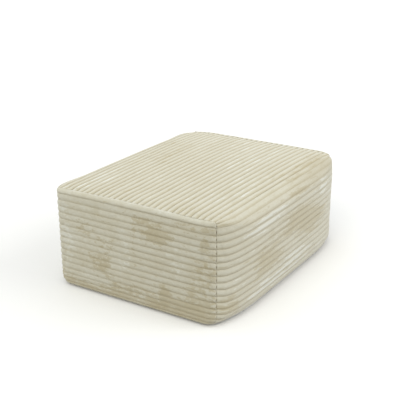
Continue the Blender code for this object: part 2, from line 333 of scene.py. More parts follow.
napMarks = {                   # broad brushed patches: place, half length, half height, change of the nap
    "resting": 0.50,           # 0 is dark and tan, 1 is brushed bright
    "lowFall": 0.21,           # duller towards the end panels' lower edges
    "lowRun": (0.13, -0.12),   # from this height down
    "edgeFall": 0.03,          # and along the long top edges
    "edgeNumber": 14.8,
    "edgeReach": 1.3,
    "topBelow": 0.045,         # the top's patches fade out this far below it
    "topRun": 0.03,
    "flatness": 1.4,           # of a patch's bell
    "end": (                   # place across and height
        (-0.118, 0.297, 0.062, 0.032, -0.24), (-0.066, 0.342, 0.060, 0.018, -0.15),
        (-0.015, 0.270, 0.012, 0.105, -0.15), (-0.306, 0.305, 0.022, 0.028, -0.17),
        (-0.143, 0.088, 0.024, 0.034, -0.18), (0.105, 0.225, 0.085, 0.040, -0.09),
        (0.130, 0.140, 0.055, 0.045, -0.16), (-0.235, 0.060, 0.070, 0.022, -0.12),
        (0.310, 0.330, 0.030, 0.030, 0.12), (0.300, 0.200, 0.040, 0.110, 0.13),
        (0.215, 0.260, 0.045, 0.035, -0.12),
        (-0.210, 0.205, 0.070, 0.060, 0.10), (0.200, 0.060, 0.090, 0.030, 0.15),
        # painted shade: the darker patch at -0.290, 0.170 darkens the panel towards its corner
        (0.030, 0.200, 0.050, 0.090, 0.10), (-0.290, 0.170, 0.075, 0.110, -0.13),
        # painted shade: this darker patch is the shade under the plain band along the top seam
        (-0.270, 0.360, 0.100, 0.012, -0.11),
    ),
    "side": (                  # place along and height
        (-0.190, 0.150, 0.120, 0.075, -0.18), (0.020, 0.250, 0.150, 0.050, -0.20),
        (0.180, 0.200, 0.140, 0.060, -0.17), (-0.410, 0.080, 0.070, 0.050, -0.17),
        (0.020, 0.350, 0.180, 0.020, -0.13), (-0.150, 0.318, 0.130, 0.030, 0.17),
        (-0.270, 0.300, 0.080, 0.030, 0.13), (0.300, 0.300, 0.080, 0.050, 0.13),
        (-0.030, 0.085, 0.190, 0.040, 0.15), (-0.240, 0.070, 0.120, 0.034, 0.16),
        (-0.360, 0.130, 0.060, 0.040, 0.09),
    ),
    "top": (                   # place along and across
        (-0.300, 0.250, 0.160, 0.060, 0.09), (0.150, -0.120, 0.220, 0.100, 0.08),
        (-0.420, -0.330, 0.060, 0.050, -0.07), (-0.330, 0.100, 0.090, 0.030, -0.11),
        (0.050, 0.200, 0.120, 0.040, -0.09), (0.250, -0.330, 0.200, 0.035, -0.15),
        (-0.150, -0.250, 0.120, 0.050, 0.08), (0.400, 0.050, 0.160, 0.260, 0.05),
    ),
}


def brushed(a, b, patches):
    # the resting nap plus each patch: its change times a flat-topped bell of the two distances
    total = np.full(np.broadcast(a, b).shape, napMarks["resting"])
    for alongPlace, acrossPlace, halfLength, halfHeight, change in patches:
        far = ((a - alongPlace) / halfLength)**2 + ((b - acrossPlace) / halfHeight)**2
        total = total + change * np.exp(-far**napMarks["flatness"])
    return total


# Filling that presses the cover out between its seams

filling = {
    "grid": 0.016,             # size of the simulated cloth's cells
    "pressure": 4.0,
    "frames": 20,
    "slack": 0.02,             # the cover is cut this much fuller than the filling
    "broad": 9,                # cells over which the broad swelling is taken off again, as the form has it
    "limit": 0.0008,           # how far the puckers that are left can move the cover
    "quality": 6,
}


def splineRead(values, places):
    # rows read at fractional places: cubic B-spline weights of the four rows round each place
    low = np.floor(places).astype(int)
    t = (places - low)[:, None]
    weights = ((1.0 - t)**3, 3.0 * t**3 - 6.0 * t**2 + 4.0, -3.0 * t**3 + 3.0 * t**2 + 3.0 * t + 1.0, t**3)
    rows = [values[np.clip(low + step, 0, len(values) - 1)] for step in (-1, 0, 1, 2)]
    return sum(weight * row for weight, row in zip(weights, rows)) / 6.0


def averaged(values, cells):
    # mean over a square window of cells, the rim repeated outwards
    kernel = np.ones(cells) / cells
    for axis in (0, 1):
        rim = [(cells // 2, cells // 2) if axis == side else (0, 0) for side in (0, 1)]
        padded = np.pad(values, rim, "edge")
        values = np.apply_along_axis(np.convolve, axis, padded, kernel, "valid")
    return values


def coarsePicks(points):
    # rows and columns of the fine grid that lie about one cell apart, and where each fine one lies among them
    picks, places = [], []
    for axis in (0, 1):
        middle = np.take(points, points.shape[1 - axis] // 2, axis=1 - axis)
        far = np.concatenate([[0.0], np.cumsum(np.linalg.norm(np.diff(middle, axis=0), axis=1))])
        even = np.linspace(0.0, far[-1], int(far[-1] / filling["grid"]) + 1)
        pick = np.unique(np.abs(far[:, None] - even[None, :]).argmin(axis=0))
        picks.append(pick)
        places.append(np.interp(far, far[pick], np.arange(len(pick))))
    return picks, places


def blownOut(name, coarse, normals):
    # the coarse grid after it has run as cloth under pressure, held all round at its seams
    number, faces = gridFaces(coarse.shape)
    outwards = np.einsum("ijk,ijk->", gridNormals(coarse), normals) > 0
    order = [0, 3, 2, 1] if outwards else [1, 2, 3, 0]
    mesh = bpy.data.meshes.new(name)
    mesh.from_pydata(coarse.reshape(-1, 3).tolist(), [], faces[:, order].tolist())
    cover = bpy.data.objects.new(name, mesh)
    bpy.context.scene.collection.objects.link(cover)
    rim = np.concatenate([number[0], number[-1], number[1:-1, 0], number[1:-1, -1]])
    held = cover.vertex_groups.new(name="held")
    held.add(rim.tolist(), 1.0, "REPLACE")
    cloth = cover.modifiers.new("cloth", "CLOTH")
    cloth.settings.quality = filling["quality"]
    cloth.settings.vertex_group_mass = "held"
    cloth.settings.use_pressure = True
    cloth.settings.uniform_pressure_force = filling["pressure"]
    cloth.settings.shrink_min = -filling["slack"]
    cloth.settings.effector_weights.gravity = 0.0
    cloth.point_cache.frame_start = 1
    cloth.point_cache.frame_end = filling["frames"]
    for frameNumber in range(1, filling["frames"] + 1):
        bpy.context.scene.frame_set(frameNumber)
    blown = cover.evaluated_get(bpy.context.evaluated_depsgraph_get()).to_mesh()
    after = np.empty(coarse.size)
    blown.vertices.foreach_get("co", after)
    bpy.data.objects.remove(cover)
    bpy.context.scene.frame_set(1)
    return after.reshape(coarse.shape)


def fullness(name, points, outward):
    # how far the cover puckers: the coarse copy's moves along the normals, less their own average over many
    # cells, read back on the fine grid and held softly inside the limit
    picks, places = coarsePicks(points)
    coarse = points[np.ix_(*picks)]
    normals = outward[np.ix_(*picks)]
    moved = np.sum((blownOut(name, coarse, normals) - coarse) * normals, axis=2)
    print("ottoman: filling moves", name, round(float(np.abs(moved).max()) * 1000, 1), "mm")
    puckers = moved - averaged(moved, filling["broad"])
    fine = splineRead(splineRead(puckers, places[0]).T, places[1]).T
    fromRim = [ease(place) * ease(place[-1] - place) for place in places]
    fine = fine * fromRim[0][:, None] * fromRim[1][None, :]
    return filling["limit"] * np.tanh(fine / filling["limit"])


# Long panel


def longStations():
    # stations from seam to seam: close together at the seams, where the cloth turns in
    near = np.linspace(0.0, longRibs["seamRun"], steps["seamRun"])
    middle = np.linspace(longRibs["seamRun"], steps["pastSeamRun"], steps["pastSeam"])[1:]
    far = np.linspace(steps["pastSeamRun"], form["length"] / 2, steps["midLength"])[1:]
    right = 1.0 - np.concatenate([near, middle, far])[:-1] / (form["length"] / 2)
    return np.concatenate([-right, [0.0], right[::-1]])


def endGrooves():
    # heights of an end panel's grooves, from the top down
    even = endRibs["firstGroove"] - endRibs["firstRib"] - endRibs["pitch"] * np.arange(endRibs["count"] - 1)
    return np.concatenate([[endRibs["firstGroove"]], even, endRibs["low"]])


def sideGrooves(fromSeam):
    # heights of a long side's grooves: even down the side, meeting the end panel's grooves at the corner seam
    even = longRibs["sideTop"] - longRibs["sidePitch"] * np.arange(endRibs["count"])
    middle = np.append(even, longRibs["sideLow"])
    atSeam = endGrooves() - endRibs["seamDrop"]
    bend = np.clip(1.0 - fromSeam / longRibs["seamRun"], 0.0, 1.0)**longRibs["seamBend"]
    ending = ease(fromSeam, *longRibs["dipEnds"])
    sag = longRibs["dip"] * ease(fromSeam / longRibs["dipStarts"]) * (1.0 - ending)
    growth = longRibs["dipHigh"] + longRibs["dipGrowth"] * ease(middle, *longRibs["dipLow"])
    shown = ease((middle[0] - middle) / longRibs["dipTop"]) * growth * ease(middle, *longRibs["dipFloor"])
    return middle + (atSeam - middle) * bend - sag * shown


def ribPlaces(x, points, travelled):
    # rib numbers of the grooves across a whole section, and how far along the section each lies
    past = int(np.argmax(points[:, 1] > points[:, 1].max() * 0.9))
    heights = sideGrooves(form["length"] / 2 - form["seamInset"] - abs(x))
    down = np.interp(-heights, -points[past:, 2], travelled[past:])
    below = longRibs["sideGroove"] + np.arange(len(heights))
    top = longRibs["topGroove"] * np.array([-1.0, 1.0])
    numbers = np.concatenate([[-below[-1] - 1.0], -below[::-1], top, below, [below[-1] + 1.0]])
    flat = top * longRibs["topPitch"] + longRibs["shift"]
    return numbers, np.concatenate([[-travelled[-1]], -down[::-1], flat, down, [travelled[-1]]])


def lastNumber():
    # rib number of the long panel's lower edges
    return longRibs["sideGroove"] + endRibs["count"] + len(endRibs["low"])


def longPanelBase():
    # smooth surface of two parameters: station along X, rib number across from one lower edge to the other
    stations = longStations()
    last = lastNumber()
    lowFade, endFade = longRibs["wanderFades"]
    half = np.concatenate([[0.0], ribShares[ribShares > 0.5] - 0.5,
                           (np.arange(int(last))[:, None] + 0.5 + ribShares[None, :]).ravel(), [last]])
    numbers = np.concatenate([-half[:0:-1], half])
    rows = []
    for station in stations:
        points, travelled = halfSection(station)
        whole, far = wholeSection(points, travelled)
        grooves, places = ribPlaces(points[0, 0], points, travelled)
        stray = longRibs["wander"] * unevenness(points[0, 0], numbers, longRibs["wanderPace"], "stray")
        stray *= ease((last - np.abs(numbers)) / lowFade) * ease((1.0 - abs(station)) * endFade)
        distance = np.interp(numbers, grooves, places) + stray
        rows.append(np.column_stack([np.interp(distance, far, whole[:, axis]) for axis in range(3)]))
    return stations, numbers, np.array(rows)


def ribRelief(share, ribDepth, fromSeam, noise, power, pinch):
    # depth below the smooth surface near a seam: each rib keeps its crest and turns in late, down to the
    # seam's own depth, on a quarter circle; grooves run into the seam a little deeper
    rib = grooveShare(share, power)
    late = turnIn(fromSeam, seams["run"])
    deep = ribDepth * rib * (1.0 + seams["deeper"] * np.exp(-(fromSeam / seams["deeperReach"])**2))
    pucker = seams["pucker"] * np.exp(-fromSeam / seams["puckerReach"]) * noise
    pinched = pinch * (1.0 - seams["grooveShare"] + seams["grooveShare"] * rib)
    return deep + np.maximum(pinched - deep, 0.0) * late + pucker * (1.0 - late)


def sewnTuck(number, fromSeam):
    # depth of the tuck that runs on from a top corner: a sharp-topped bell across, fading with its length
    past = ease(fromSeam / seams["tuckLength"])
    narrowed = 1.0 - seams["tuckNarrowing"] + seams["tuckNarrowing"] * past
    off = (number - seams["tuckNumber"]) * longRibs["topPitch"] * narrowed
    return seams["tuckDepth"] * (1.0 - past) * np.exp(-np.abs(off / seams["tuckWidth"])**1.5)


def longPanelDepth(stations, numbers, points):
    # ribs, flatter on the long edges, the turned-in seams and the sewn tucks, and the rise that the material
    # reads to paint shade: 1 on a crest and 0 in an open groove, lower again along the sewn tucks and the long
    # top edges
    x = points[..., 0]
    number = np.abs(numbers)[None, :]
    share = (number + 0.5) % 1.0
    fromSeam = (1.0 - np.abs(stations))[:, None] * form["length"] / 2
    edge = np.exp(-((number - longRibs["rollNumber"]) * longRibs["topPitch"] / longRibs["rollReach"])**2)
    onSide = ease(number - longRibs["topGroove"] - 1.0)
    far = ease(x / longRibs["farRun"])
    noise = unevenness(x, numbers, longRibs["depthPace"], "depth")
    ribDepth = longRibs["depth"] * (1.0 + uneven["depth"] * noise)
    ribDepth = ribDepth * (1.0 - longRibs["rollFlattening"] * edge)
    ribDepth = ribDepth * (1.0 - longRibs["sideFlattening"] * onSide)
    ribDepth = ribDepth * (1.0 - longRibs["farFlattening"] * (far * onSide))
    ribDepth = ribDepth * ease((lastNumber() - number) / longRibs["lowFade"])
    pinch = seams["topPinch"] + (seams["pinch"] - seams["topPinch"]) * ease(number - longRibs["topGroove"])
    puckers = unevenness(x, numbers, uneven["puckerPace"], "pucker")
    depth = ribRelief(share, ribDepth, fromSeam, puckers, longRibs["roundness"], pinch)
    tuck = sewnTuck(number, fromSeam)
    filled = (longRibs["topFilling"] * (1.0 - onSide) + longRibs["farFilling"] * onSide) * far
    filled = filled + longRibs["sideFilling"] * onSide
    # painted shade: the grooves darkened, less on the long top edges and where the nap fills them, and the
    # sewn tucks and long top edges darkened too
    grooveShade = grooveShare(share, longRibs["roundness"]) * (1.0 - longRibs["rollBare"] * edge)
    edgeShade = longRibs["rollShade"] + longRibs["farRollShade"] * ease(x, *longRibs["farRollRun"])
    rise = 1.0 - grooveShade * (1.0 - filled) - seams["tuckShade"] * tuck / seams["tuckDepth"] - edgeShade * edge
    return depth + tuck, rise


def makeLongPanel(material):
    stations, numbers, points = longPanelBase()
    depth, rise = longPanelDepth(stations, numbers, points)
    normals = gridNormals(points)
    depth[:, [0, -1]] = 0.0
    surface = points - normals * depth[..., None]
    surface += normals * fullness("longCover", points, normals)[..., None]
    surface[..., 2] = np.maximum(surface[..., 2], form["underside"])
    surface = settled(surface)
    number = np.arange(points[..., 0].size).reshape(points.shape[:2])
    after = np.roll(number, -1, axis=1)
    quads = np.stack([number[:-1], number[1:], after[1:], after[:-1]], 2).reshape(-1, 4)
    faces = quads.tolist() + [face[::-1] for face in ladder(number[0])] + ladder(number[-1])
    x, y, z = np.moveaxis(points, 2, 0)
    uvs = np.stack([x, np.broadcast_to(numbers + ribStart["longPanel"], x.shape)], 2).reshape(-1, 2)
    onTop = ease((z - form["height"] + napMarks["topBelow"]) / napMarks["topRun"])
    side = np.where(y < 0.0, 1.0, -1.0)
    nap = onTop * brushed(x, y, napMarks["top"]) + (1.0 - onTop) * brushed(x * side, z, napMarks["side"])
    off = (np.abs(numbers) - napMarks["edgeNumber"]) / napMarks["edgeReach"]
    nap = nap - napMarks["edgeFall"] * np.exp(-off**2)
    return makePiece("longPanel", surface.reshape(-1, 3), faces, material, uvs, rise.ravel(), nap)


# End panels


def endRows():
    # row heights on the panel's middle line and their rib numbers, from the base up
    grooves = endGrooves()[::-1]
    lows = np.concatenate([[form["underside"]], grooves])
    highs = np.append(grooves, crownHeight(seamX(form["height"]), 0.0))
    heights = (lows[:, None] + (highs - lows)[:, None] * ribShares[None, :]).ravel()
    numbers = (np.arange(len(lows))[:, None] + ribShares[None, :]).ravel()
    return np.append(heights, highs[-1]), np.append(numbers, float(len(lows)))


def endColumns():
    # shares of the half width from -1 to 1, closer together towards the upright seams on a sine
    t = np.linspace(-1.0, 1.0, steps["endPanel"])
    return np.sin(t * np.pi / 2) * endRibs["crowding"] + t * (1.0 - endRibs["crowding"])


def endHeights(side, share, numbers, across, arch, seamTop):
    # heights of the grid: the crown's arch, bent to the top seam; rows stray a little, and drop as a square
    # towards the corner seams
    z = share * arch - (arch - seamTop) * ease(share, *endRibs["topBend"])
    inward = 1.0 - np.abs(across)
    atBase, atTop, atSide = endRibs["wanderFades"]
    stray = unevenness(across, numbers[:, None], endRibs["wanderPace"], "endStray", side)
    stray = endRibs["wander"] * stray * ease(share * atBase) * ease((1.0 - share) * atTop)
    z = z + stray * ease(inward * atSide)
    atBase, atTop = endRibs["dropFades"]
    drop = endRibs["seamDrop"] * ease(share * atBase) * ease((1.0 - share) * atTop)
    z = z - drop * np.clip(1.0 - inward * form["width"] / 2 / endRibs["seamDropRun"], 0.0, 1.0)**2
    z[0] = form["underside"]
    return z


def endPanelBase(side):
    # smooth surface of two parameters, share of the height and share of the half width: the seam surface,
    # from which the panel stands out on quarter ellipses next to the corner seams and the top seam
    outline, _ = halfSection(1.0)
    level, numbers = endRows()
    across = endColumns()[None, :]
    onRoll = int(np.argmax(outline[:, 1] >= outline[:, 1].max() - 0.001))
    yHigh = np.abs(across) * outline[onRoll, 1]
    seamTop = np.interp(yHigh, outline[:onRoll + 1, 1], outline[:onRoll + 1, 2])
    arch = crownHeight(seamX(form["height"]), yHigh)
    z = endHeights(side, (level / level[-1])[:, None], numbers, across, arch, seamTop)
    half = np.interp(-z, -outline[onRoll:, 2], outline[onRoll:, 1])
    y = across * half
    stand = form["seamInset"] * (1.0 - tuckedShare(z, form["endTuck"]))
    stand = stand + form["endBulge"] * (1.0 - (y / half)**2) * bulgeShare(z)
    start = 1.0 - form["seamInset"] / form["cornerAlong"]
    turned = np.clip(math.sqrt(1.0 - start**2) - (half - np.abs(y)) / form["cornerAcross"], 0.0, 1.0)
    byCorner = (np.sqrt(1.0 - turned**2) - start) / (1.0 - start)
    byTop = np.sqrt(1.0 - np.clip(1.0 - (seamTop - z) / form["endTopRoll"], 0.0, 1.0)**2)
    out = byCorner * byTop / np.maximum(byCorner + byTop - byCorner * byTop, 1e-9)
    smooth = np.stack([side * (seamX(z) + stand * out + form["gap"]), y, z], 2)
    return smooth, numbers, half - np.abs(y), np.maximum(seamTop - z, 0.0)


def endPanelDepth(side, y, numbers, fromSide, fromTop):
    # ribs, the turned-in seams and the rise that paints shade into the grooves, as on the long panel
    number = numbers[:, None]
    share = number % 1.0
    fromSeam = np.minimum(fromSide, fromTop)
    topEdge = np.exp(-((number - numbers[-1]) / endRibs["topReach"])**2)
    noise = unevenness(y, number, endRibs["depthPace"], "endDepth", side)
    ribDepth = endRibs["depth"] * (1.0 + uneven["depth"] * noise)
    ribDepth = ribDepth * (1.0 - topEdge) * ease(number / endRibs["lowFade"])
    towards = ease(side * y, *endRibs["fillingRun"])
    short = ease(side * y, *endRibs["flatteningEnds"])
    ribDepth = ribDepth * (1.0 - endRibs["flattening"] * towards * short)
    puckers = unevenness(y, number, uneven["puckerPace"], "endPucker", side)
    upright = ease(1.0 - (fromSide - fromSeam) / seams["bandRun"])
    pinch = seams["bandPinch"] + (seams["pinch"] - seams["bandPinch"]) * upright
    depth = ribRelief(share, ribDepth, fromSeam, puckers, endRibs["roundness"], pinch)
    # painted shade: the grooves darkened, none along the top band, less towards one corner where the nap fills
    # them
    grooveShade = grooveShare(share, endRibs["roundness"]) * (1.0 - topEdge)
    return depth, 1.0 - grooveShade * (1.0 - endRibs["filling"] * towards)


def makeEndPanel(name, side, material):
    # front: the ribbed surface; back: its rim closed rung by rung
    smooth, numbers, fromSide, fromTop = endPanelBase(side)
    _, y, z = np.moveaxis(smooth, 2, 0)
    depth, rise = endPanelDepth(side, y, numbers, fromSide, fromTop)
    normals = gridNormals(smooth) * -side
    points = smooth - normals * (depth - fullness(name + "Cover", smooth, normals))[..., None]
    points[..., 2] = np.maximum(points[..., 2], form["underside"])
    points = settled(points)
    number, quads = gridFaces(points.shape)
    faces = quads.tolist()
    faces.append(tuple(number[0, ::-1].tolist()) + (int(number[1, 0]), int(number[1, -1])))
    rim = np.concatenate([number[1:, 0], number[-1, 1:-1], number[:0:-1, -1]])
    faces += [face[::-1] for face in ladder(rim)]
    if side < 0:
        faces = [face[::-1] for face in faces]
    uvs = np.stack([y, np.broadcast_to(numbers[:, None] + ribStart["endPanel"], y.shape)], 2).reshape(-1, 2)
    nap = brushed(-side * y, z, napMarks["end"]) - napMarks["lowFall"] * ease(z, *napMarks["lowRun"])
    return makePiece(name, points.reshape(-1, 3), faces, material, uvs, rise.ravel(), nap)


# Seam thread

thread = {
    "radius": 0.0011,
    "topRadius": 0.0013,
    "topDarkness": 0.42,
    "thinnest": 0.12,          # share of the radius that is left at a stitch's ends
    "fluffRadius": 0.0011,     # pale pile that stands up beside some upright stitches
    "fluffShift": (0.0014, -0.0027),       # out along the end and in from the side
    "fluffSpan": (0.05, 0.95), # between these shares of the stitch
    "fluffShortest": 0.25,
    "length": 0.0095,          # of one stitch on an upright seam, one across each rib's crest
    "topLength": 0.0075,       # and on a top seam, one across each groove's end
    "sunk": 0.0018,            # how far a stitch lies below the crests
    "sunkWay": (-0.6, -0.8),   # in from the end and in from the side
    "topSunk": 0.0016,
    "topInset": 0.0024,        # and how far inside the top seam
    # dark thread, its darkness also painted shade for the seam's pinched gaps at each rib
    "colour": (0.210, 0.155, 0.075, 1.0),
    "roughness": 0.8,
    "fibreScale": 900.0,
}


def stitch(start, end, radius):
    # a straight tube between two points, thinning towards both ends on a half sine
    t = np.linspace(0.0, 1.0, 7)[:, None, None]
    turn = np.linspace(0.0, 2 * np.pi, 7)[None, :-1, None]
    way = (end - start) / np.linalg.norm(end - start)
    side = np.cross(way, [0.3, 0.2, 0.93])       # no stitch runs this way
    side /= np.linalg.norm(side)
    other = np.cross(way, side)
    thick = radius * np.maximum(np.sin(np.pi * t), thread["thinnest"])
    return start + (end - start) * t + thick * (np.cos(turn) * side + np.sin(turn) * other)


def seamStitch(number, at):
    # a stitch lies across a rib's crest on an upright seam, and across the next groove's end on a top seam
    onTop = abs(number) <= longRibs["topGroove"]
    reach = (thread["topLength"] if onTop else thread["length"]) / longRibs["topPitch"] / 2
    middle = number + 0.5 if onTop else number
    along, across = thread["sunkWay"]
    inward = thread["sunk"] * np.array([along, across * np.sign(number), 0.0])
    if onTop:
        inward = np.array([-thread["topInset"], 0.0, -thread["topSunk"]])
    return onTop, at(middle - reach), at(middle + reach), inward


def makeThread(material):
    # one stitch for each rib along both end seams, dark as painted shade in the seam's gaps, and pale pile
    # beside some of the upright ones
    chance = np.random.default_rng(uneven["seeds"]["stitches"])
    outline, travelled = halfSection(1.0)
    places = ribPlaces(outline[0, 0], outline, travelled)
    whole, far = wholeSection(outline, travelled)

    def at(number):
        spot = np.interp(number, *places)
        return np.array([np.interp(spot, far, whole[:, axis]) for axis in range(3)])

    stitches, dark = [], []
    count = int(longRibs["sideGroove"] + endRibs["count"])
    for number in range(-count, count + 1):
        onTop, a, b, inward = seamStitch(number, at)
        radius, darkness = (thread["topRadius"], thread["topDarkness"]) if onTop else (thread["radius"], 1.0)
        for end in (-1.0, 1.0):
            mirror = np.array([end, 1.0, 1.0])
            stitches.append(stitch((a + inward) * mirror, (b + inward) * mirror, radius))
            dark.append(darkness)
            low, high = sorted(chance.uniform(*thread["fluffSpan"], 2))
            if not onTop and high - low > thread["fluffShortest"]:
                along, across = thread["fluffShift"]
                shift = np.array([along, across * np.sign(number), 0.0])
                ends = [(a + (b - a) * part + shift) * mirror for part in (low, high)]
                stitches.append(stitch(*ends, thread["fluffRadius"]))
                dark.append(0.0)
    tubes = settled(np.array(stitches))
    number = np.arange(tubes[..., 0].size).reshape(tubes.shape[:3])
    after = np.roll(number, -1, axis=2)
    quads = np.stack([number[:, :-1], after[:, :-1], after[:, 1:], number[:, 1:]], 3).reshape(-1, 4)
    caps = number[:, 0, ::-1].tolist() + number[:, -1].tolist()
    points = tubes.reshape(-1, 3)
    shade = np.repeat(dark, number[0].size)
    return makePiece("seamThread", points, quads.tolist() + caps, material, points[:, :2], shade)


# Base cloth

baseCloth = {
    "margin": 0.004,
    "thickness": 0.0012,
    "lift": 0.0010,            # how far the stretched cloth lifts off the floor
    "lowest": 0.0002,
    "waveMiddle": 0.5,         # its waves, as shares of the lift
    "waveHeight": 0.35,
    "wavePace": (30.0, 30.0),
    "rimFade": 9.0,
    "dark": (0.035, 0.035, 0.037, 1.0),
    "pale": (0.11, 0.11, 0.115, 1.0),
    "roughness": 0.95,
    "fibreScale": 260.0,
    "bump": 0.6,
    "bumpHeight": 0.0006,
}


def makeBaseCloth(material):
    # grid over the underside's outline; its height is a few soft waves, flat along the rim
    u = np.linspace(-1.0, 1.0, steps["baseCloth"][0])[:, None]
    v = np.linspace(-1.0, 1.0, steps["baseCloth"][1])[None, :]
    x = u * (seamX(np.array(form["underside"])) - baseCloth["margin"]) + 0 * v
    y = v * (halfWidth(x, np.full_like(x, form["underside"])) - baseCloth["margin"])
    rim = ease((1.0 - np.maximum(np.abs(u), np.abs(v))) * baseCloth["rimFade"])
    waves = unevenness(x, y, baseCloth["wavePace"], "baseCloth")
    z = baseCloth["lift"] * rim * (baseCloth["waveMiddle"] + baseCloth["waveHeight"] * waves)
    z = np.clip(z, baseCloth["lowest"], form["underside"] - baseCloth["thickness"] - form["gap"])
    points = np.stack([x, y, z], 2)
    faces = gridFaces(points.shape)[1][:, ::-1].tolist()
    uvs = points[..., :2].reshape(-1, 2)
    piece = makePiece("baseCloth", points.reshape(-1, 3), faces, material, uvs, np.ones(x.size))
    thick = piece.modifiers.new("thickness", "SOLIDIFY")
    thick.thickness = baseCloth["thickness"]
    thick.offset = 1.0
    return piece


# Materials

plush = {
    "tan": (0.490, 0.432, 0.285, 1.0),     # nap lying away from the light
    "ivory": (0.604, 0.574, 0.456, 1.0),   # nap at rest
    "bright": (0.738, 0.740, 0.665, 1.0),  # nap brushed towards the light
    # painted shade: the grooves' colour, partly the darker pile parted there
    "groove": (0.455, 0.405, 0.284, 1.0),
    "facing": 0.84,            # painted sheen: the colour is made darker face on and brighter edge on
    "edgeOnSheen": 1.14,
    "roughness": 0.85,
    "sheen": 0.45,
    "sheenRoughness": 0.40,
    "specular": 0.2,
    "lies": (0.20, 0.50, 0.82),            # how the nap lies at tan, ivory and bright
    "grooveCurve": 0.55,       # power by which the grooves' painted shade gives way to the nap's tone
    "bump": 0.6,
    "bumpHeight": 0.0016,
    "longPanel": {"Mark length": 0.120, "Cloud size": 0.13, "Raggedness": 0.74, "Bright strength": 0.40,
                  "Tan strength": 0.20, "Streak": 0.90, "Cloud strength": 0.20, "Flank shade strength": 0.22,
                  "Fleck strength": 0.17},
    "endPanel": {"Mark length": 0.030, "Cloud size": 0.06, "Raggedness": 0.74, "Bright strength": 0.15,
                 "Tan strength": 0.22, "Streak": 0.30, "Cloud strength": 0.36, "Flank shade strength": 0.16,
                 "Fleck strength": 0.22},
    "pile": {"Tuft size": 0.0011, "Crush size": 0.007},
}

napPattern = {                 # how the marks, clouds and flecks are spread over the rib map
    "markNoise": (1.0, 3.0, 0.72),         # scale, detail and roughness
    "cloudNoise": (1.0, 3.0, 0.55),
    "fleckNoise": (1.0, 2.0),
    "pileDetail": 2.0,
    "ribStep": 7.31,           # how unlike one rib's marks are to the next one's
    "acrossRib": 1.6,
    "edge": (0.08, 0.14),      # where a patch starts and where it is full
    "flankShade": (0.02, 0.55),     # share of a rib over which the painted flank light comes in, the near flank shaded and the far one lit
    "flankMiddle": 0.6,
    "streak": (0.30, 0.50),    # and where a bright streak starts and ends
    "streakEnd": (0.80, 0.98),
    "ribWidth": 0.025,
    "cloudPlace": 3.7,
    "flecks": (75.0, 2.6, 1.0),
    "tufts": 0.45,             # height of the tufts beside the crushed spots
}


def newGroup(name, vector, values, output):
    # node group with one vector input, value inputs with the values given, and one value output
    group = bpy.data.node_groups.new(name, "ShaderNodeTree")
    group.interface.new_socket(name=vector, in_out="INPUT", socket_type="NodeSocketVector")
    for key, value in values.items():
        made = group.interface.new_socket(name=key, in_out="INPUT", socket_type="NodeSocketFloat")
        made.default_value = value
    group.interface.new_socket(name=output, in_out="OUTPUT", socket_type="NodeSocketFloat")
    given = group.nodes.new("NodeGroupInput").outputs
    return group, given, group.nodes.new("NodeGroupOutput").inputs[output]


def newMaterial(name, roughness):
    material = bpy.data.materials.new(name)
    material.use_nodes = True
    shader = material.node_tree.nodes["Principled BSDF"]
    shader.inputs["Roughness"].default_value = roughness
    return material, material.node_tree, shader


def addNode(tree, kind, inputs=None, **settings):
    node = tree.nodes.new(kind)
    for key, value in settings.items():
        setattr(node, key, value)     # first, as a group's tree makes its sockets
    for key, value in (inputs or {}).items():
        socket = node.inputs[key]
        if isinstance(value, bpy.types.NodeSocket):
            tree.links.new(value, socket)
        else:
            socket.default_value = value
    return node


def worked(tree, operation, a, b, clamp=False):
    return addNode(tree, "ShaderNodeMath", {0: a, 1: b}, operation=operation, use_clamp=clamp).outputs[0]


def plus(tree, a, b):
    return worked(tree, "ADD", a, b)


def less(tree, a, b):
    return worked(tree, "SUBTRACT", a, b)


def times(tree, a, b):
    return worked(tree, "MULTIPLY", a, b)


def over(tree, a, b):
    return worked(tree, "DIVIDE", a, b)


def softStep(tree, value, low, high):
    return addNode(tree, "ShaderNodeMapRange", {"Value": value, "From Min": low, "From Max": high},
                   interpolation_type="SMOOTHSTEP").outputs[0]


def noise(tree, place, scale, detail, roughness=0.5):
    return addNode(tree, "ShaderNodeTexNoise", {"Vector": place, "Scale": scale, "Detail": detail,
                                                "Roughness": roughness}).outputs[0]


def joined(tree, x, y, z):
    return addNode(tree, "ShaderNodeCombineXYZ", {0: x, 1: y, 2: z}).outputs[0]


def mixed(tree, share, first, second):
    return addNode(tree, "ShaderNodeMix", {"Factor": share, "A": first, "B": second},
                   data_type="RGBA").outputs["Result"]


def bumped(tree, height, look):
    return addNode(tree, "ShaderNodeBump", {"Strength": look["bump"], "Distance": look["bumpHeight"],
                                            "Height": height}).outputs[0]


